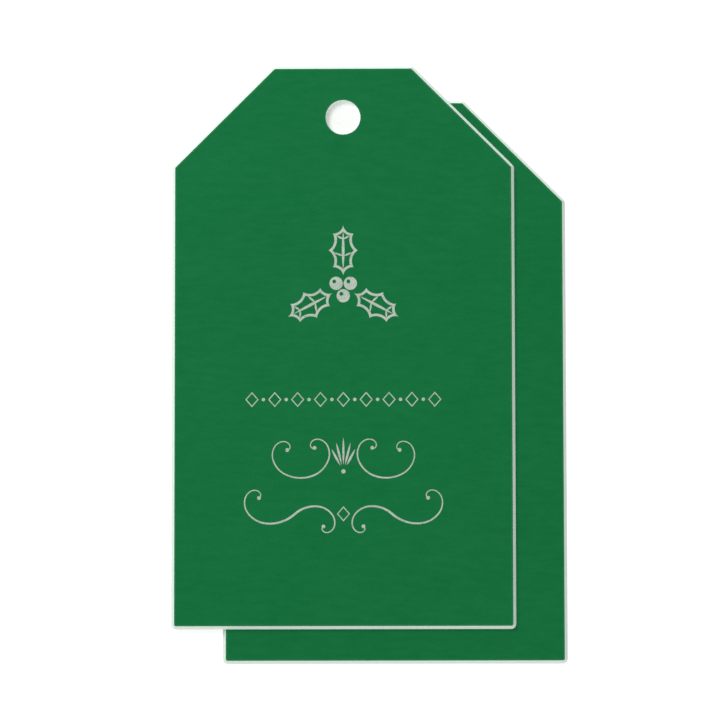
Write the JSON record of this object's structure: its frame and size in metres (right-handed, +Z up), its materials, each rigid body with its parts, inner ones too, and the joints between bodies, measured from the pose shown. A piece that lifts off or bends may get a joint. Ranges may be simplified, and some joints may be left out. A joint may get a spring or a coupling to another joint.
{
  "type": "gift tag",
  "caption": "Loose bevel-edged gift tags with angled top corners, a punched hole and silver foil ornament on green paper, lying overlapped with a thin slip sheet between them.",
  "frame": {"origin": "bottom centre of the box round the two tags as they lie on a table", "axes": "+Z up, out of the printed faces; +Y along the tags towards their punched ends; +X to the right as the faces are read"},
  "size_m": [0.062, 0.0944, 0.0021],
  "materials": {
    "green_paper": "matte, fine horizontal grain",
    "core_board": "matte, bevel cut",
    "back_paper": "matte, uncoated",
    "foil": "satin silver foil",
    "glue": "clear, dried",
    "slip_sheet": "thin, smooth, opaque white"
  },
  "bodies": {
    "rear_tag": {"rear_face_paper": "green_paper", "rear_face_glue": "glue", "rear_core_board": "core_board", "rear_back_glue": "glue", "rear_back_paper": "back_paper", "rear_foil_leaves": "foil", "rear_foil_berries": "foil", "rear_foil_rule": "foil", "rear_foil_upper_flourish": "foil", "rear_foil_lower_flourish": "foil"},
    "slip_sheet": {"slip_sheet": "slip_sheet"},
    "front_tag": {"front_face_paper": "green_paper", "front_face_glue": "glue", "front_core_board": "core_board", "front_back_glue": "glue", "front_back_paper": "back_paper", "front_foil_leaves": "foil", "front_foil_berries": "foil", "front_foil_rule": "foil", "front_foil_upper_flourish": "foil", "front_foil_lower_flourish": "foil"}
  },
  "joints": [
    {"name": "slip_sheet_pull", "type": "slide", "parent": "rear_tag", "child": "slip_sheet", "axis": [-1, 0, 0], "range_m": [0, 0.06]},
    {"name": "front_tag_lift", "type": "slide", "parent": "rear_tag", "child": "front_tag", "axis": [0, 0, 1], "range_m": [0, 0.04]}
  ]
}
